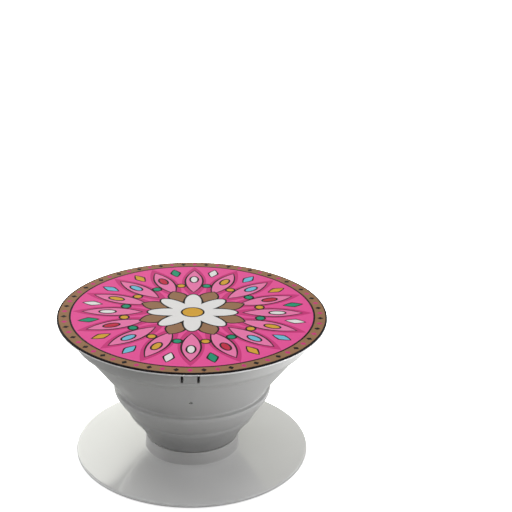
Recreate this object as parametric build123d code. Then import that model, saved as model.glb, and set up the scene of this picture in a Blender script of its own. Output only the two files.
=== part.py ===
from build123d import *
import os

# A collapsible phone grip, standing open on its pad, in millimetres.
# Its axis is Z, the pad's underside is at Z = 0, and the front is -Y.

# Adhesive pad
pad_diameter = 33.0
pad_thickness = 0.5

# Base plate, a thin disc with an upright collar
base_diameter = 35.5
base_thickness = 0.6
base_rim_bevel = 0.2
collar_diameter = 14.3
collar_wall = 0.55
collar_height = 2.05
collar_root_bevel = 0.35
collar_floor_thickness = 0.6

# Split snap post inside the collar, which the neck turns on
post_diameter = 4.6
post_bore_diameter = 2.4
post_lip = 0.45
post_lip_land = 0.2
post_nose_height = 0.5
post_slot_width = 0.7

# Hard hub inside the foot of the bellows
hub_radial_clearance = 0.08
hub_axial_clearance = 0.1
hub_flange_thickness = 0.5
hub_flange_setback = 0.1
hub_barrel_diameter = 11.4

# Bellows: a throat over the collar's rim, then three conical bowls with a thin crease below the upper two
wall_thickness = 0.9
crease_thickness = 0.45
crease_rise = 0.15
cuff_clearance = 0.1
foot_overhang = 0.55
foot_clearance = 0.1
throat_flare = 0.8
throat_height = 1.65
lower_bowl_flare = 2.1
lower_bowl_height = 2.75
middle_bowl_setback = 0.45
middle_bowl_flare = 2.37
middle_bowl_height = 2.95
middle_shoulder_height = 0.65
middle_shoulder_bevel = 0.4
upper_bowl_setback = 0.77
upper_bowl_flare = 5.5
upper_bowl_height = 7.35
vent_diameter = 0.5

# Lock ring, the hard skirt under the disc, with a lip that the head of the bellows is bonded to
lip_overhang = 0.1
lip_width = 1.0
lip_thickness = 0.5
skirt_flare = 1.1
skirt_flare_height = 1.0
skirt_height = 1.9
skirt_wall = 1.0
notch_count = 2
notch_width = 2.6
notch_depth = 1.4

# Top disc with its snap rim, key tabs and hooks
disc_overhang = 2.2
disc_thickness = 1.0
disc_edge_thickness = 0.2
disc_land = 0.5
snap_rim_clearance = 0.1
snap_rim_wall = 0.8
snap_rim_depth = 1.5
hook_count = 4
hook_first_angle = 45
hook_width = 3.0
hook_height = 0.4
hook_reach = 0.35
hook_drop = 0.6
hook_clearance = 0.1
tab_side_gap = 0.35
tab_end_gap = 0.05
tab_setback = 0.2

# Printed sheet on the disc
print_thickness = 0.2
print_margin = 0.03


def turned(*corners):
    """A solid of revolution about Z. A corner is (radius, height) or (radius, height, bevel)."""
    points = []
    for i, (radius, height, *bevel) in enumerate(corners):
        corner = Vector(radius, height)
        if not bevel:
            points.append(corner)
            continue
        for beside in (corners[i - 1], corners[(i + 1) % len(corners)]):
            along = (Vector(*beside[:2]) - corner).normalized()
            points.append(corner + along * bevel[0])
    section = make_face(Polyline(*points, close=True))
    return revolve(Plane.XZ * section, Axis.Z)


def around(count, piece, first_angle=0):
    """Copies of a piece, evenly spaced about Z."""
    return [Rot(0, 0, first_angle + 360 * i / count) * piece for i in range(count)]


def inner_line(foot, brim):
    """A point on a bowl's inner face and that face's rise per radius, from its outer foot and brim."""
    run = Vector(brim[0] - foot[0], brim[1] - foot[1]).normalized()
    inside = Vector(*foot) + Vector(-run.Y, run.X) * wall_thickness
    return inside, run.Y / run.X


# Heights and radii that the pieces share
base_bottom = pad_thickness
base_top = base_bottom + base_thickness
collar_radius = collar_diameter / 2
collar_bore_radius = collar_radius - collar_wall
collar_top = base_top + collar_height
collar_floor = base_bottom + collar_floor_thickness
post_radius = post_diameter / 2
post_bore_radius = post_bore_diameter / 2
hub_bottom = collar_floor + hub_axial_clearance
hub_flange_top = hub_bottom + hub_flange_thickness
hub_barrel_radius = hub_barrel_diameter / 2
cuff_radius = collar_bore_radius - cuff_clearance

throat_foot = (cuff_radius + foot_overhang, collar_top + foot_clearance)
lower_foot = (throat_foot[0] + throat_flare, throat_foot[1] + throat_height)
lower_brim = (lower_foot[0] + lower_bowl_flare, lower_foot[1] + lower_bowl_height)
middle_foot = (lower_brim[0] - middle_bowl_setback, lower_brim[1] + crease_rise)
middle_brim = (middle_foot[0] + middle_bowl_flare, middle_foot[1] + middle_bowl_height)
middle_shoulder_top = middle_brim[1] + middle_shoulder_height
upper_foot = (middle_brim[0] - upper_bowl_setback, middle_shoulder_top + crease_rise)
upper_brim = (upper_foot[0] + upper_bowl_flare, upper_foot[1] + upper_bowl_height)

lip_bottom = upper_brim[1]
lip_top = lip_bottom + lip_thickness
lip_radius = upper_brim[0] + lip_overhang
skirt_foot = lip_bottom + skirt_flare_height
skirt_radius = lip_radius + skirt_flare
skirt_bore_radius = skirt_radius - skirt_wall
disc_bottom = skirt_foot + skirt_height
disc_top = disc_bottom + disc_thickness
disc_radius = skirt_radius + disc_overhang
snap_rim_radius = skirt_bore_radius - snap_rim_clearance

# Where the bowls' inner faces meet the hub and the flat head
lower_inside, lower_rise = inner_line(throat_foot, lower_brim)
upper_inside, upper_rise = inner_line(upper_foot, upper_brim)
hub_top = lower_inside.Y + (hub_barrel_radius - lower_inside.X) * lower_rise
head_bore_radius = upper_inside.X + (upper_brim[1] - upper_inside.Y) / upper_rise


def make_adhesive_pad():
    radius = pad_diameter / 2
    return turned((0, 0), (radius, 0), (radius, pad_thickness), (0, pad_thickness))


def make_base_plate():
    rim = base_diameter / 2
    head_bottom = hub_top + hub_axial_clearance
    nose_bottom = head_bottom + post_lip_land
    nose_top = nose_bottom + post_nose_height
    plate = turned(
        (0, base_bottom),
        (rim, base_bottom),
        (rim, base_top, base_rim_bevel),
        (collar_radius, base_top, collar_root_bevel),
        (collar_radius, collar_top),
        (collar_bore_radius, collar_top),
        (collar_bore_radius, collar_floor),
        (post_radius, collar_floor),
        (post_radius, head_bottom),
        (post_radius + post_lip, head_bottom),
        (post_radius + post_lip, nose_bottom),
        (post_radius, nose_top),
        (post_bore_radius, nose_top),
        (post_bore_radius, collar_floor),
        (0, collar_floor),
    )
    # Two crossing slots split the post into four springy fingers
    slot_length = post_diameter + 2 * post_lip
    slot_height = nose_top - hub_bottom
    slot = Pos(0, 0, hub_bottom) * Box(
        slot_length,
        post_slot_width,
        slot_height,
        align=(Align.CENTER, Align.CENTER, Align.MIN),
    )
    return plate - slot - Rot(0, 0, 90) * slot


def make_swivel_hub():
    bore = post_radius + hub_radial_clearance
    flange_radius = cuff_radius - hub_flange_setback
    return turned(
        (bore, hub_bottom),
        (flange_radius, hub_bottom),
        (flange_radius, hub_flange_top),
        (hub_barrel_radius, hub_flange_top),
        (hub_barrel_radius, hub_top),
        (bore, hub_top),
    )


def make_accordion():
    lower_crease_height = lower_brim[1] + crease_rise / 2
    upper_crease_height = middle_shoulder_top + crease_rise / 2
    inner_shoulder_height = middle_brim[1] + middle_shoulder_height / 2
    bellows = turned(
        # Outer face, from the cuff in the collar up to the head
        (hub_barrel_radius, hub_flange_top),
        (cuff_radius, hub_flange_top),
        (cuff_radius, throat_foot[1]),
        throat_foot,
        lower_foot,
        lower_brim,
        middle_foot,
        middle_brim,
        (middle_brim[0], middle_shoulder_top, middle_shoulder_bevel),
        upper_foot,
        upper_brim,
        # Inner face, back down to the hub, thin at the creases
        (head_bore_radius, upper_brim[1]),
        (upper_foot[0] - crease_thickness, upper_crease_height),
        (middle_brim[0] - wall_thickness, inner_shoulder_height),
        (middle_foot[0] - crease_thickness, lower_crease_height),
        (hub_barrel_radius, hub_top),
    )
    # A pinhole half way up the front of the upper bowl lets the air out as it folds
    vent_radius = (upper_foot[0] + upper_brim[0]) / 2
    vent_height = (upper_foot[1] + upper_brim[1]) / 2
    outward = (0, -upper_bowl_height, -upper_bowl_flare)
    vent_place = Plane(origin=(0, -vent_radius, vent_height), z_dir=outward)
    through_wall = 3 * wall_thickness
    return bellows - vent_place * Cylinder(vent_diameter / 2, through_wall)


def make_hook(margin):
    """A block at the front of the snap rim, grown by a margin on every free side."""
    reach = snap_rim_clearance + hook_reach + margin
    block = Box(
        hook_width + 2 * margin,
        snap_rim_wall / 2 + reach,
        hook_height + 2 * margin,
        align=(Align.CENTER, Align.MIN, Align.MAX),
    )
    return Pos(0, -snap_rim_radius - reach, disc_bottom - hook_drop + margin) * block


def make_lock_ring():
    lip_bore = lip_radius - lip_width
    ring = turned(
        (lip_bore, lip_bottom),
        (lip_radius, lip_bottom),
        (skirt_radius, skirt_foot),
        (skirt_radius, disc_bottom),
        (skirt_bore_radius, disc_bottom),
        (skirt_bore_radius, lip_top),
        (lip_bore, lip_top),
    )
    # Notches in the upper edge, the first at the front
    through_wall = 2 * skirt_wall
    notch = Box(
        notch_width,
        through_wall,
        notch_depth,
        align=(Align.CENTER, Align.CENTER, Align.MAX),
    )
    notch = Pos(0, -skirt_radius + skirt_wall / 2, disc_bottom) * notch
    # Blind pockets in the bore for the hooks of the disc
    pockets = around(hook_count, make_hook(hook_clearance), hook_first_angle)
    return ring - around(notch_count, notch) - pockets


def make_top_disc():
    land_radius = skirt_radius + disc_land
    rim_bore = snap_rim_radius - snap_rim_wall
    rim_bottom = disc_bottom - snap_rim_depth
    disc = turned(
        (0, disc_bottom),
        (rim_bore, disc_bottom),
        (rim_bore, rim_bottom),
        (snap_rim_radius, rim_bottom),
        (snap_rim_radius, disc_bottom),
        (land_radius, disc_bottom),
        (disc_radius, disc_top - disc_edge_thickness),
        (disc_radius, disc_top),
        (0, disc_top),
    )
    # Key tabs that stand in the notches of the lock ring
    tab_reach = skirt_radius - tab_setback - rim_bore - snap_rim_wall / 2
    tab = Box(
        notch_width - 2 * tab_side_gap,
        tab_reach,
        notch_depth - tab_end_gap,
        align=(Align.CENTER, Align.MIN, Align.MAX),
    )
    tab = Pos(0, -skirt_radius + tab_setback, disc_bottom) * tab
    hooks = around(hook_count, make_hook(0), hook_first_angle)
    return disc + around(notch_count, tab) + hooks


def make_printed_face():
    radius = disc_radius - print_margin
    return turned(
        (0, disc_top),
        (radius, disc_top),
        (radius, disc_top + print_thickness),
        (0, disc_top + print_thickness),
    )


parts = {
    "adhesive_pad": make_adhesive_pad(),
    "base_plate": make_base_plate(),
    "swivel_hub": make_swivel_hub(),
    "accordion": make_accordion(),
    "lock_ring": make_lock_ring(),
    "top_disc": make_top_disc(),
    "printed_face": make_printed_face(),
}

os.makedirs("parts", exist_ok=True)
for node, solid in parts.items():
    export_step(solid, f"parts/{node}.step")
    print(node, "volume", round(solid.volume, 2), "mm3")
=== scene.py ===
import bmesh
import bpy
from math import pi, radians
from mathutils import Matrix, Quaternion, Vector


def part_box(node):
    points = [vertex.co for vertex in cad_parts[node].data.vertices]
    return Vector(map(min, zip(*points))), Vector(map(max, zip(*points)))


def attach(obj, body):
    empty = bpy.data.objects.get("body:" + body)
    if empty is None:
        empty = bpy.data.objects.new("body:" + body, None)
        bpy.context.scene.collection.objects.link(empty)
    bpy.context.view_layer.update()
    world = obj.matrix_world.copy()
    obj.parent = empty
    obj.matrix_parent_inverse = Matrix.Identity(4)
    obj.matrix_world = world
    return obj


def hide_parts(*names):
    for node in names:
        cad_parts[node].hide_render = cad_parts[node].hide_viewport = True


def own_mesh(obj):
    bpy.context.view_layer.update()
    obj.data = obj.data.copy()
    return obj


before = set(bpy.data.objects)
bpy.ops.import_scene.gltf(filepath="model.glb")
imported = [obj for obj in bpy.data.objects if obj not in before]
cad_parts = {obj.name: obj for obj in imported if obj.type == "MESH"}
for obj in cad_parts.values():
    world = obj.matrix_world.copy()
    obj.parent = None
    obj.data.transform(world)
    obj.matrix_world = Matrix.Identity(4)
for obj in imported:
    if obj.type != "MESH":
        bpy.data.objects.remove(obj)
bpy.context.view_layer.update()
scene = bpy.context.scene
scene.view_settings.view_transform = "Standard"
mm = 0.001
print("frame loaded with", len(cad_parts), "nodes")

# Meshes are modelled in millimetres and scaled to metres when a piece is added
turning = {"steps": 192, "roundSteps": 5, "sharpAngle": 40, "mergeDistance": 1e-4}


def span(node):  # outer radius, lowest and highest level of a turned node, in mm
    low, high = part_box(node)
    return high.x / mm, low.z / mm, high.z / mm


def turnOutline(outline):  # corners (radius, height, rounding), the rounding measured along both edges
    work = bmesh.new()
    corners = [work.verts.new((radius, 0, height)) for radius, height, rounding in outline]
    work.faces.new(corners)
    for corner, (radius, height, rounding) in zip(corners, outline):
        if rounding:
            bmesh.ops.bevel(work, geom=[corner], offset=rounding, offset_type="OFFSET", affect="VERTICES",
                            segments=turning["roundSteps"], profile=0.5, material=-1)
    bmesh.ops.delete(work, geom=work.faces[:], context="FACES_ONLY")
    onAxis = [edge for edge in work.edges if max(vert.co.x for vert in edge.verts) < turning["mergeDistance"]]
    for edge in onAxis:  # nothing to turn on the axis itself
        work.edges.remove(edge)
    bmesh.ops.spin(work, geom=work.verts[:] + work.edges[:], cent=(0, 0, 0), axis=(0, 0, 1), dvec=(0, 0, 0),
                   angle=2 * pi, steps=turning["steps"], use_merge=True, use_duplicate=False)
    bmesh.ops.remove_doubles(work, verts=work.verts, dist=turning["mergeDistance"])
    bmesh.ops.recalc_face_normals(work, faces=work.faces)
    return work


def block(low, high, turn):  # a box between two corners, turned about Z
    work = bmesh.new()
    low, high = Vector(low), Vector(high)
    size = Matrix.Diagonal((high - low).to_4d())
    bmesh.ops.create_cube(work, size=1, matrix=Matrix.Translation((low + high) / 2) @ size)
    bmesh.ops.rotate(work, verts=work.verts, matrix=Matrix.Rotation(turn, 3, "Z"))
    return work


def combine(work, tool, operation):  # UNION or DIFFERENCE of two closed meshes
    pair = []
    for part in (work, tool):
        mesh = bpy.data.meshes.new("part")
        part.to_mesh(mesh)
        part.free()
        pair.append(bpy.data.objects.new("part", mesh))
        scene.collection.objects.link(pair[-1])
    cut = pair[0].modifiers.new("cut", "BOOLEAN")
    cut.operation = operation
    cut.object = pair[1]
    result = bmesh.new()
    result.from_object(pair[0], bpy.context.evaluated_depsgraph_get())
    for part in pair:
        bpy.data.meshes.remove(part.data)  # its object goes with it
    return result


def addPiece(name, work, material, body, node):
    bmesh.ops.scale(work, verts=work.verts, vec=(mm, mm, mm))
    for face in work.faces:
        face.smooth = True
    mesh = bpy.data.meshes.new(name)
    work.to_mesh(mesh)
    work.free()
    mesh.set_sharp_from_angle(angle=radians(turning["sharpAngle"]))
    mesh.materials.append(material)
    piece = bpy.data.objects.new(name, mesh)
    scene.collection.objects.link(piece)
    even = piece.modifiers.new("evenNormals", "WEIGHTED_NORMAL")
    even.keep_sharp = True
    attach(piece, body)
    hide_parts(node)
    print(name, "has", len(mesh.polygons), "faces")
    return piece


# Node helpers for the materials

def feed(tree, socket, value):  # links a socket, or sets its plain value
    if isinstance(value, bpy.types.NodeSocket):
        tree.links.new(value, socket)
    else:
        socket.default_value = value


def addNode(tree, kind, settings=None, **inputs):  # an underscore stands for the space in a socket's name
    node = tree.nodes.new(kind)
    for key, value in (settings or {}).items():
        setattr(node, key, value)
    for key, value in inputs.items():
        feed(tree, node.inputs[key.replace("_", " ")], value)
    return node


def calc(tree, operation, *values):
    node = addNode(tree, "ShaderNodeMath", {"operation": operation})
    for socket, value in zip(node.inputs, values):
        feed(tree, socket, value)
    return node.outputs[0]


def mixColours(tree, share, first, second):  # each colour is a socket or three numbers
    node = addNode(tree, "ShaderNodeMix", {"data_type": "RGBA"})
    feed(tree, node.inputs[0], share)
    for socket, colour in ((node.inputs[6], first), (node.inputs[7], second)):
        feed(tree, socket, (*colour, 1) if isinstance(colour, tuple) else colour)
    return node.outputs[2]


def spread(tree, value, low, high):  # stretches a 0 to 1 value to a range
    return addNode(tree, "ShaderNodeMapRange", Value=value, To_Min=low, To_Max=high).outputs[0]


def ease(tree, value, start, full):  # 0 at the start and 1 at the full length in mm, with soft ends
    return addNode(tree, "ShaderNodeMapRange", {"interpolation_type": "SMOOTHSTEP"}, Value=value,
                   From_Min=start * mm, From_Max=full * mm).outputs[0]


def objectAxes(tree):
    place = tree.nodes.new("ShaderNodeTexCoord").outputs["Object"]
    return addNode(tree, "ShaderNodeSeparateXYZ", Vector=place).outputs


def newMaterial(name):
    material = bpy.data.materials.new(name)
    material.use_nodes = True
    tree = material.node_tree
    return material, tree, tree.nodes["Principled BSDF"]


def newGroup(name, inputs, outputs):
    tree = bpy.data.node_groups.new(name, "ShaderNodeTree")
    for socket, value in inputs.items():
        made = tree.interface.new_socket(socket, in_out="INPUT", socket_type="NodeSocketFloat")
        made.default_value = value
    for socket in outputs:
        tree.interface.new_socket(socket, in_out="OUTPUT", socket_type="NodeSocketFloat")
    return tree, tree.nodes.new("NodeGroupInput"), tree.nodes.new("NodeGroupOutput")


# Skin of all the pieces: fine grain and broad, faint patches, as moulding leaves them
skinNoise = {"Grain": {"scale": 2500, "detail": 3.0}, "Patch": {"scale": 120, "detail": 2.0}}


def buildMouldSkin():
    scales = {name + " Scale": noise["scale"] for name, noise in skinNoise.items()}
    tree, given, result = newGroup("mouldSkin", scales, tuple(skinNoise))
    place = tree.nodes.new("ShaderNodeTexCoord").outputs["Object"]
    for name, noise in skinNoise.items():
        texture = addNode(tree, "ShaderNodeTexNoise", Vector=place, Scale=given.outputs[name + " Scale"],
                          Detail=noise["detail"])
        tree.links.new(texture.outputs[0], result.inputs[name])
    return tree


mouldSkin = buildMouldSkin()


def addSkin(tree, shader, finish):  # grain goes to the normal, and the patches are handed on
    skin = addNode(tree, "ShaderNodeGroup", {"node_tree": mouldSkin}, Grain_Scale=finish["grainScale"],
                   Patch_Scale=finish["patchScale"])
    bump = addNode(tree, "ShaderNodeBump", Height=skin.outputs["Grain"], Strength=finish["bump"],
                   Distance=finish["bumpDepth"] * mm)
    tree.links.new(bump.outputs[0], shader.inputs["Normal"])
    for socket, value in finish["shader"].items():
        shader.inputs[socket].default_value = value
    return skin.outputs["Patch"]


def mouldedMaterial(name, finish):
    material, tree, shader = newMaterial(name)
    patch = addSkin(tree, shader, finish)
    colour = mixColours(tree, patch, finish["colour"], finish["patchColour"])
    roughness = spread(tree, patch, *finish["roughness"])
    shares = []
    for fade in finish["fades"]:  # another tone from one height to another, some of them painted shade or highlight
        share = ease(tree, objectAxes(tree)[2], fade["start"], fade["full"])
        colour = mixColours(tree, share, colour, fade["colour"])
        roughness = calc(tree, "MULTIPLY_ADD", share, fade["roughen"], roughness)
        shares.append(share)
    if finish["coated"]:  # the coat ends where either fade is full
        bare = calc(tree, "MAXIMUM", *shares)
        tree.links.new(calc(tree, "SUBTRACT", 1.0, bare), shader.inputs["Coat Weight"])
    tree.links.new(colour, shader.inputs["Base Color"])
    tree.links.new(roughness, shader.inputs["Roughness"])
    return material


glossWhite = mouldedMaterial("glossWhitePlastic", {
    "colour": (0.63, 0.63, 0.63), "patchColour": (0.665, 0.665, 0.665), "roughness": (0.09, 0.13),
    "grainScale": 900, "patchScale": 90, "bump": 0.03, "bumpDepth": 0.01,
    "coated": True,
    "fades": [{"start": 1.105, "full": 1.17, "colour": (0.47, 0.468, 0.466), "roughen": 0.3},  # satin collar, its darker tone painted shade from the bowls above
              {"start": 1.06, "full": 0.98, "colour": (0.68, 0.68, 0.68), "roughen": 0.4}],  # satin rim
    "shader": {"IOR": 1.5, "Coat Roughness": 0.06, "Coat IOR": 1.55},
})
satinWhite = mouldedMaterial("satinWhitePlastic", {
    # base colour well below the plate's white: painted shade for the cap's parts under the disc's overhang
    "colour": (0.37, 0.37, 0.365), "patchColour": (0.395, 0.395, 0.39), "roughness": (0.28, 0.36),
    "grainScale": 2500, "patchScale": 150, "bump": 0.12, "bumpDepth": 0.01,
    "coated": False,
    "fades": [{"start": 22.52, "full": 22.6, "colour": (0.66, 0.66, 0.66), "roughen": 0.0}],  # painted highlight: the cap's edge lighter, as if catching light
    "shader": {"IOR": 1.5},
})
softGrey = mouldedMaterial("softBellows", {
    # pale grey, darkened further as painted shade for the disc's shade over the bellows
    "colour": (0.40, 0.40, 0.40), "patchColour": (0.425, 0.425, 0.42), "roughness": (0.30, 0.38),
    "grainScale": 3200, "patchScale": 130, "bump": 0.15, "bumpDepth": 0.01,
    "coated": False,
    "fades": [{"start": 11.5, "full": 3.5, "colour": (0.285, 0.285, 0.285), "roughen": 0.1}],  # painted shade: darker towards the foot, where bowls and plate shade it
    "shader": {"IOR": 1.48},
})
padGel = mouldedMaterial("padGel", {
    "colour": (0.58, 0.58, 0.55), "patchColour": (0.50, 0.50, 0.48), "roughness": (0.45, 0.6),
    "grainScale": 700, "patchScale": 260, "bump": 0.3, "bumpDepth": 0.05,
    "coated": False,
    "fades": [],
    "shader": {"IOR": 1.42},
})
print("plastics made")


# Printed sheet: a regular rosette of petals, leaves and lozenges in rings, drawn from the ground up.
# A ring's turn is a share of its own step, half is (along, across) the radius, and power is 1 for a point
# and 2 for a round end
plainRing = {"count": 16, "turn": 0, "power": (2, 2), "line": 0.28}
rosette = {
    "colours": {
        "pink": (0.785, 0.083, 0.32), "rose": (0.58, 0.036, 0.20), "blush": (0.80, 0.185, 0.41),
        "tan": (0.30, 0.16, 0.082), "ink": (0.008, 0.005, 0.006), "white": (0.76, 0.75, 0.75),
        "teal": (0.012, 0.30, 0.17), "sky": (0.16, 0.50, 0.68), "gold": (0.66, 0.36, 0.035),
        "crimson": (0.55, 0.02, 0.06),
    },
    "rings": [
        {"colours": ["rose"], "radius": 11.6, "half": (6.2, 1.9), "power": (2, 1), "line": 0},
        {"colours": ["blush"], "radius": 11.9, "half": (4.3, 1.25), "power": (2, 1)},
        {"colours": ["teal", "gold", "sky", "white"], "turn": 0.5, "radius": 15.4, "half": (1.35, 0.62),
         "power": (1.2, 1.2)},
        {"colours": ["white", "crimson", "sky", "gold"], "radius": 12.6, "half": (1.1, 0.5)},
        {"colours": ["gold", "teal"], "turn": 0.5, "radius": 10.2, "half": (0.55, 0.55)},
        {"colours": ["tan"], "count": 8, "turn": 0.5, "radius": 6.2, "half": (2.0, 1.3), "power": (2, 1)},
        {"colours": ["white"], "count": 8, "radius": 3.7, "half": (2.9, 1.25)},
        {"colours": ["gold"], "count": 1, "radius": 0, "half": (1.5, 1.5)},
    ],
    "border": 18.2, "edge": 19.7,
    "borderDots": {"colours": ["rose", "ink"], "count": 64, "radius": 18.95, "half": (0.5, 0.42),
                   "power": (1, 1), "line": 0},
    "roughness": (0.42, 0.52), "grainScale": 1800, "patchScale": 160, "bump": 0.06, "bumpDepth": 0.01,
    "shader": {"Specular IOR Level": 0.03},
}


def polar(tree):  # x, y and radius in mm
    x, y = (calc(tree, "MULTIPLY", axis, 1 / mm) for axis in objectAxes(tree)[:2])
    squares = calc(tree, "ADD", calc(tree, "MULTIPLY", x, x), calc(tree, "MULTIPLY", y, y))
    return x, y, calc(tree, "SQRT", squares)


def buildPetalRing():  # one ring of like motifs, with an outline round each
    tree, given, result = newGroup(
        "petalRing",
        {"Count": 8, "Turn": 0, "Radius": 10, "Half Length": 2, "Half Width": 1, "Line": 0.25,
         "Point": 2, "Side": 1},
        ("Fill", "Outline", "Number"),
    )
    x, y, radius = polar(tree)
    angle = calc(tree, "ADD", calc(tree, "ARCTAN2", y, x), 2 * pi)
    step = calc(tree, "DIVIDE", 2 * pi, given.outputs["Count"])
    turns = calc(tree, "DIVIDE", calc(tree, "SUBTRACT", angle, given.outputs["Turn"]), step)
    number = calc(tree, "ROUND", turns)
    local = calc(tree, "MULTIPLY", calc(tree, "SUBTRACT", turns, number), step)
    along = calc(tree, "MULTIPLY", radius, calc(tree, "COSINE", local))
    along = calc(tree, "ABSOLUTE", calc(tree, "SUBTRACT", along, given.outputs["Radius"]))
    across = calc(tree, "ABSOLUTE", calc(tree, "MULTIPLY", radius, calc(tree, "SINE", local)))
    for output, grow in (("Fill", 0.0), ("Outline", 1.0)):
        extra = calc(tree, "MULTIPLY", given.outputs["Line"], grow)
        length = calc(tree, "ADD", given.outputs["Half Length"], extra)
        width = calc(tree, "ADD", given.outputs["Half Width"], extra)
        lengthShare = calc(tree, "POWER", calc(tree, "DIVIDE", along, length), given.outputs["Point"])
        widthShare = calc(tree, "POWER", calc(tree, "DIVIDE", across, width), given.outputs["Side"])
        inside = calc(tree, "LESS_THAN", calc(tree, "ADD", lengthShare, widthShare), 1.0)
        tree.links.new(inside, result.inputs[output])
    tree.links.new(number, result.inputs["Number"])
    return tree


def buildPrint():
    material, tree, shader = newMaterial("printedRosette")
    petalRing = buildPetalRing()
    colours = rosette["colours"]
    radius = polar(tree)[2]

    def cycle(number, names):  # the colours in turn round a ring
        if len(names) == 1:
            return colours[names[0]]
        share = calc(tree, "DIVIDE", calc(tree, "FLOORED_MODULO", number, len(names)), len(names))
        ramp = addNode(tree, "ShaderNodeValToRGB", Fac=calc(tree, "ADD", share, 0.5 / len(names)))
        ramp.color_ramp.interpolation = "CONSTANT"
        stops = ramp.color_ramp.elements
        while len(stops) < len(names):
            stops.new(0.5)
        for index, name in enumerate(names):
            stops[index].position = index / len(names)
            stops[index].color = (*colours[name], 1)
        return ramp.outputs[0]

    def addRing(below, settings):
        ring = {**plainRing, **settings}
        node = addNode(tree, "ShaderNodeGroup", {"node_tree": petalRing}, Count=ring["count"],
                       Turn=ring["turn"] * 2 * pi / ring["count"], Radius=ring["radius"],
                       Half_Length=ring["half"][0], Half_Width=ring["half"][1],
                       Point=ring["power"][0], Side=ring["power"][1], Line=ring["line"])
        inked = mixColours(tree, node.outputs["Outline"], below, colours["ink"])
        return mixColours(tree, node.outputs["Fill"], inked, cycle(node.outputs["Number"], ring["colours"]))

    def addBand(below, start, name):  # a plain field from a radius outwards
        return mixColours(tree, calc(tree, "GREATER_THAN", radius, start), below, colours[name])

    colour = colours["pink"]
    for settings in rosette["rings"]:
        colour = addRing(colour, settings)
    colour = addBand(colour, rosette["border"] - plainRing["line"], "ink")
    colour = addBand(colour, rosette["border"], "tan")
    colour = addRing(colour, rosette["borderDots"])
    colour = addBand(colour, rosette["edge"], "ink")
    tree.links.new(colour, shader.inputs["Base Color"])
    patch = addSkin(tree, shader, rosette)
    tree.links.new(spread(tree, patch, *rosette["roughness"]), shader.inputs["Roughness"])
    return material


printRosette = buildPrint()
print("print made")


# Base plate with its collar and split post
plate = {
    "floor": 1.1, "crown": 0.03, "crownShoulder": 13.0, "shoulderRound": 3.0,
    "rimRound": 0.28, "underRound": 0.25,
    "collarRadius": 7.15, "collarTop": 3.15, "collarWall": 0.55, "collarRound": 0.12, "footRound": 0.25,
    "postRadius": 2.3, "postBore": 1.2, "postLip": 0.45, "postLand": 0.2, "postNose": 0.5,
    "slotWidth": 0.7, "slotFloor": 1.2, "slotOver": 0.35,
}


def makeBasePlate():
    radius, low, top = span("base_plate")
    noseLow = top - plate["postNose"]
    headLow = noseLow - plate["postLand"]
    bore = plate["collarRadius"] - plate["collarWall"]
    lip = plate["postRadius"] + plate["postLip"]
    work = turnOutline([
        (0, low, 0),
        (radius, low, plate["underRound"]),
        (radius, plate["floor"] - plate["crown"], plate["rimRound"]),
        (plate["crownShoulder"], plate["floor"], plate["shoulderRound"]),
        (plate["collarRadius"], plate["floor"], plate["footRound"]),
        (plate["collarRadius"], plate["collarTop"], plate["collarRound"]),
        (bore, plate["collarTop"], plate["collarRound"]),
        (bore, plate["floor"], 0),
        (plate["postRadius"], plate["floor"], 0),
        (plate["postRadius"], headLow, 0),
        (lip, headLow, 0),
        (lip, noseLow, 0),
        (plate["postRadius"], top, 0),
        (plate["postBore"], top, 0),
        (plate["postBore"], plate["floor"], 0),
        (0, plate["floor"], 0),
    ])
    half, over = plate["slotWidth"] / 2, plate["slotOver"]
    for turn in (0, pi / 2):
        slot = block((-lip - over, -half, plate["slotFloor"]), (lip + over, half, top + over), turn)
        work = combine(work, slot, "DIFFERENCE")
    return addPiece("basePlate", work, glossWhite, "base", "base_plate")


# Bellows: a throat and three bowls, two soft creases and the air vent; corners are (radius, height, rounding)
neck = {
    "cuffRadius": 6.5, "barrelRadius": 5.7, "throatFoot": (7.05, 3.25, 0.08),
    "lowerFoot": (7.85, 4.9, 1.4), "lowerShoulder": (9.5, 6.9, 0.35), "lowerBrim": (9.83, 7.45, 0.2),
    "middleFoot": (9.83, 7.85, 0.15), "middleBelly": (11.17, 9.55, 0.9), "middleBrim": (11.87, 10.85, 0.35),
    "middleTop": (11.87, 11.38, 0.18), "upperFoot": (11.15, 11.57, 0.45),
    "headRound": 0.12, "headBore": 15.45,
    "wall": 0.9, "creaseWall": 0.45, "creaseRise": 0.15, "innerRound": 0.3,
    "ventRadius": 0.3, "ventPlace": (13.85, 15.225), "ventLength": 2.8, "ventSides": 24,
    "foldAnchor": 3.45, "foldKeep": 0.02,
}


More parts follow.
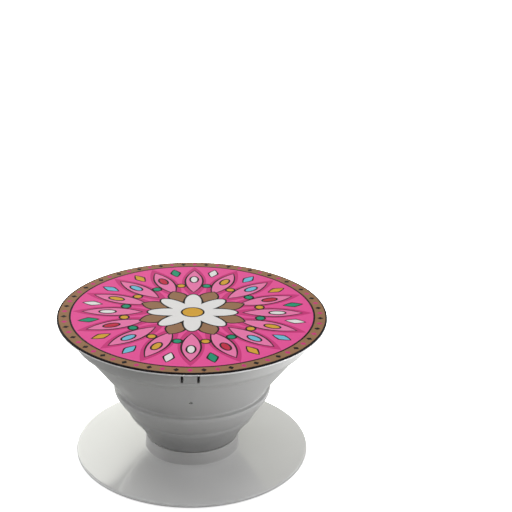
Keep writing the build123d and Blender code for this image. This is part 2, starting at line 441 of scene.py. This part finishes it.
def makeBellows():
    radius, low, head = span("accordion")
    hubTop = span("swivel_hub")[2]
    middleBrim, middleTop, upperFoot = neck["middleBrim"], neck["middleTop"], neck["upperFoot"]
    creases = [(corner[0] - neck["creaseWall"], corner[1] - neck["creaseRise"] / 2, neck["innerRound"])
               for corner in (upperFoot, neck["middleFoot"])]
    shoulderInside = (middleBrim[0] - neck["wall"], (middleBrim[1] + middleTop[1]) / 2, neck["innerRound"])
    work = turnOutline([
        (neck["barrelRadius"], low, 0),
        (neck["cuffRadius"], low, 0),
        (neck["cuffRadius"], neck["throatFoot"][1], 0),
        neck["throatFoot"],
        neck["lowerFoot"],
        neck["lowerShoulder"],
        neck["lowerBrim"],
        neck["middleFoot"],
        neck["middleBelly"],
        middleBrim,
        middleTop,
        upperFoot,
        (radius, head, neck["headRound"]),
        (neck["headBore"], head, 0),
        creases[0],
        shoulderInside,
        creases[1],
        (neck["barrelRadius"], hubTop, 0),
    ])
    ventReach, ventHeight = neck["ventPlace"]
    run = Vector((0, -(radius - upperFoot[0]), head - upperFoot[1])).normalized()
    outward = Vector((0, -run.z, run.y))  # square to the upper bowl
    lean = outward.to_track_quat("Z", "Y").to_matrix().to_4x4()
    pin = bmesh.new()
    bmesh.ops.create_cone(pin, cap_ends=True, segments=neck["ventSides"], radius1=neck["ventRadius"],
                          radius2=neck["ventRadius"], depth=neck["ventLength"],
                          matrix=Matrix.Translation((0, -ventReach, ventHeight)) @ lean)
    work = combine(work, pin, "DIFFERENCE")
    piece = addPiece("bellows", work, softGrey, "neck", "accordion")
    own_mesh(piece)
    return piece


# Lock ring and cap, with the key tabs in the notches and the hooks in their pockets
cap = {
    "lipOverlap": 1.0, "lipRadius": 16.7, "lipThickness": 0.5, "lipRound": 0.15,
    "skirtFoot": 19.9, "skirtWall": 1.0, "skirtFootRound": 0.35, "seatRound": 0.06,
    "notchWidth": 2.6, "notchDepth": 1.4, "notchOver": 0.325,
    "tabGap": 0.35, "tabSetback": 0.05, "tabHead": 0.4, "tabRecess": 1.05, "tabRoot": 0.2375,
    "rimClearance": 0.1, "rimWall": 0.8,
    "landWidth": 0.5, "landRound": 0.3, "edgeThickness": 0.2, "edgeRound": 0.08,
    "hookCount": 4, "hookWidth": 3.0, "hookHeight": 0.4, "hookReach": 0.35, "hookDrop": 0.6,
    "hookClearance": 0.1,
    "printRound": 0.06,
}


def makeHook(rimRadius, seat, margin, turn):  # with a margin it is the pocket's shape
    reach = cap["rimClearance"] + cap["hookReach"] + margin
    top = seat - cap["hookDrop"] + margin
    low = (-cap["hookWidth"] / 2 - margin, -rimRadius - reach, top - cap["hookHeight"] - 2 * margin)
    high = (cap["hookWidth"] / 2 + margin, -rimRadius + cap["rimWall"] / 2, top)
    return block(low, high, turn)


def hookTurns():  # evenly round the rim, clear of the notches
    return [2 * pi * (index + 0.5) / cap["hookCount"] for index in range(cap["hookCount"])]


def makeLockRing():
    radius, low, seat = span("lock_ring")
    bore = radius - cap["skirtWall"]
    lipBore, lipTop = cap["lipRadius"] - cap["lipOverlap"], low + cap["lipThickness"]
    work = turnOutline([
        (lipBore, low, 0),
        (cap["lipRadius"], low, cap["lipRound"]),
        (radius, cap["skirtFoot"], cap["skirtFootRound"]),
        (radius, seat, cap["seatRound"]),
        (bore, seat, 0),
        (bore, lipTop, 0),
        (lipBore, lipTop, 0),
    ])
    half, over = cap["notchWidth"] / 2, cap["notchOver"]
    for turn in (0, pi):
        front, back = (-half, -radius - over, seat - cap["notchDepth"]), (half, -bore + over, seat + over)
        work = combine(work, block(front, back, turn), "DIFFERENCE")
    for turn in hookTurns():
        pocket = makeHook(bore - cap["rimClearance"], seat, cap["hookClearance"], turn)
        work = combine(work, pocket, "DIFFERENCE")
    return addPiece("lockRing", work, satinWhite, "top", "lock_ring")


def makeTopDisc():
    radius, low, top = span("top_disc")
    ringRadius, ringLow, seat = span("lock_ring")
    rimRadius = ringRadius - cap["skirtWall"] - cap["rimClearance"]
    rimBore = rimRadius - cap["rimWall"]
    work = turnOutline([
        (0, seat, 0),
        (rimBore, seat, 0),
        (rimBore, low, 0),
        (rimRadius, low, 0),
        (rimRadius, seat, 0),
        (ringRadius + cap["landWidth"], seat, cap["landRound"]),
        (radius, top - cap["edgeThickness"], cap["edgeRound"]),
        (radius, top, cap["edgeRound"]),
        (0, top, 0),
    ])
    half = cap["notchWidth"] / 2 - cap["tabGap"]
    tabLow = seat - cap["notchDepth"]
    front, back = -ringRadius + cap["tabSetback"], -rimBore - cap["rimWall"] / 2
    for turn in (0, pi):
        tab = block((-half, front, tabLow), (half, back, seat - cap["tabHead"]), turn)
        root = block((-half, front + cap["tabRecess"], tabLow), (half, back, seat + cap["tabRoot"]), turn)
        for shape in (tab, root):  # the root leaves a slot over the tab's front
            work = combine(work, shape, "UNION")
    for turn in hookTurns():
        work = combine(work, makeHook(rimRadius, seat, 0, turn), "UNION")
    return addPiece("topDisc", work, satinWhite, "top", "top_disc")


def makePrintedFace():
    radius, low, top = span("printed_face")
    work = turnOutline([(0, low, 0), (radius, low, 0), (radius, top, cap["printRound"]), (0, top, 0)])
    return addPiece("printedFace", work, printRosette, "top", "printed_face")


makeBasePlate()
makeBellows()
makeLockRing()
makeTopDisc()
makePrintedFace()
plainNodes = (("adhesive_pad", padGel, "pad_gel"), ("swivel_hub", satinWhite, "white_satin"))
for node, material, slotName in plainNodes:  # kept as the solids are
    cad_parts[node].data.materials.clear()
    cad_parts[node].data.materials.append(material)
print("pieces made")


# Floor, light and camera; the floor's size is in metres and all the rest in mm
studio = {
    "floorSize": 3.0, "floorColour": (0.93, 0.93, 0.93), "floorBounce": (0.5, 0.5, 0.5), "floorLift": 0.8,
    "floorRoughness": 0.8, "floorSpecular": 0.1,
    "glowRight": 2.7, "glowBack": 1.6, "glowStart": 15, "glowFull": 60, "domeRight": 0.75,
    "view": {"place": (2.82, -161.81, 95.61), "aim": (9.22, 0.16, 31.99), "roll": 1.354, "lens": 83.7,
             "clipStart": 10},
}
plainLamp = {"aim": (0, 0, 12), "size": (110, 100), "roll": 0, "tint": (1, 1, 1), "mirrored": True}
lamps = {
    "overhead": {"place": (-60, 40, 420), "aim": (0, 0, 10), "size": (320, 320), "radiance": 1.8},
    "backLeft": {"place": (-172, 330, 147), "aim": (-172, 0, 87), "size": (400, 280), "radiance": 2.4,
                 "roll": 49, "tint": (0.99, 1, 0.925)},
    "backRight": {"place": (205, 330, 190), "aim": (205, 0, 60), "size": (390, 300), "radiance": 0.72,
                  "tint": (0.99, 1, 0.88)},
    "frontHigh": {"place": (0, -250, 250), "size": (300, 160), "radiance": 2.0},
    "rightHigh": {"place": (190, 0, 190), "size": (160, 160), "radiance": 1.1},
    "rightFront": {"place": (261, -70, 60), "radiance": 0.5},
    "leftLow": {"place": (-254, 92, 60), "radiance": 8.6, "mirrored": False},  # too bright for the gloss
    "leftFront": {"place": (-261, -70, 60), "radiance": 2.2},
}


def makeFloor():  # white to the eye, bright beside and behind the grip, greyer in what it throws back
    material, tree, shader = newMaterial("paleFloor")
    seen = tree.nodes.new("ShaderNodeLightPath").outputs["Is Camera Ray"]
    colour = mixColours(tree, seen, studio["floorBounce"], studio["floorColour"])
    tree.links.new(colour, shader.inputs["Base Color"])
    shader.inputs["Roughness"].default_value = studio["floorRoughness"]
    shader.inputs["Specular IOR Level"].default_value = studio["floorSpecular"]
    glow = calc(tree, "MULTIPLY", seen, studio["floorLift"])
    for axis, level in zip(objectAxes(tree), (studio["glowRight"], studio["glowBack"])):
        share = ease(tree, axis, studio["glowStart"], studio["glowFull"])
        glow = calc(tree, "MULTIPLY_ADD", share, level, glow)
    shader.inputs["Emission Color"].default_value = (1, 1, 1, 1)
    tree.links.new(glow, shader.inputs["Emission Strength"])
    work = bmesh.new()
    bmesh.ops.create_grid(work, x_segments=1, y_segments=1, size=studio["floorSize"] / 2)
    mesh = bpy.data.meshes.new("floor")
    work.to_mesh(mesh)
    work.free()
    mesh.materials.append(material)
    floor = bpy.data.objects.new("floor", mesh)
    scene.collection.objects.link(floor)


def makeDome():  # pale from the right, and plain white to the camera
    world = bpy.data.worlds.new("studio")
    world.use_nodes = True
    scene.world = world
    tree = world.node_tree
    toward = tree.nodes.new("ShaderNodeTexCoord").outputs["Generated"]
    axes = addNode(tree, "ShaderNodeSeparateXYZ", Vector=toward).outputs
    level = calc(tree, "MULTIPLY", calc(tree, "MAXIMUM", axes[0], 0.0), studio["domeRight"])
    seen = tree.nodes.new("ShaderNodeLightPath").outputs["Is Camera Ray"]
    backdrop = tree.nodes["Background"]
    backdrop.inputs["Color"].default_value = (1, 1, 1, 1)
    tree.links.new(calc(tree, "MAXIMUM", level, seen), backdrop.inputs["Strength"])


def face(holder, place, aim, roll):  # puts a lamp or camera in its place, turned to its aim
    place, aim = Vector(place), Vector(aim)
    holder.location = place * mm
    holder.rotation_mode = "QUATERNION"
    level = (aim - place).to_track_quat("-Z", "Y")
    holder.rotation_quaternion = level @ Quaternion((0, 0, 1), radians(roll))
    scene.collection.objects.link(holder)


def makeLamps():
    for name, settings in lamps.items():
        lamp = {**plainLamp, **settings}
        light = bpy.data.lights.new(name, "AREA")
        light.shape = "RECTANGLE"
        light.size, light.size_y = (side * mm for side in lamp["size"])
        light.energy = lamp["radiance"] * pi * light.size * light.size_y
        light.color = lamp["tint"]
        holder = bpy.data.objects.new(name, light)
        holder.visible_glossy = lamp["mirrored"]
        face(holder, lamp["place"], lamp["aim"], lamp["roll"])


def makeCamera():
    view = studio["view"]
    camera = bpy.data.objects.new("camera", bpy.data.cameras.new("camera"))
    camera.data.lens = view["lens"]
    camera.data.clip_start = view["clipStart"] * mm
    face(camera, view["place"], view["aim"], view["roll"])
    scene.camera = camera


makeFloor()
makeDome()
makeLamps()
makeCamera()
print("studio made")
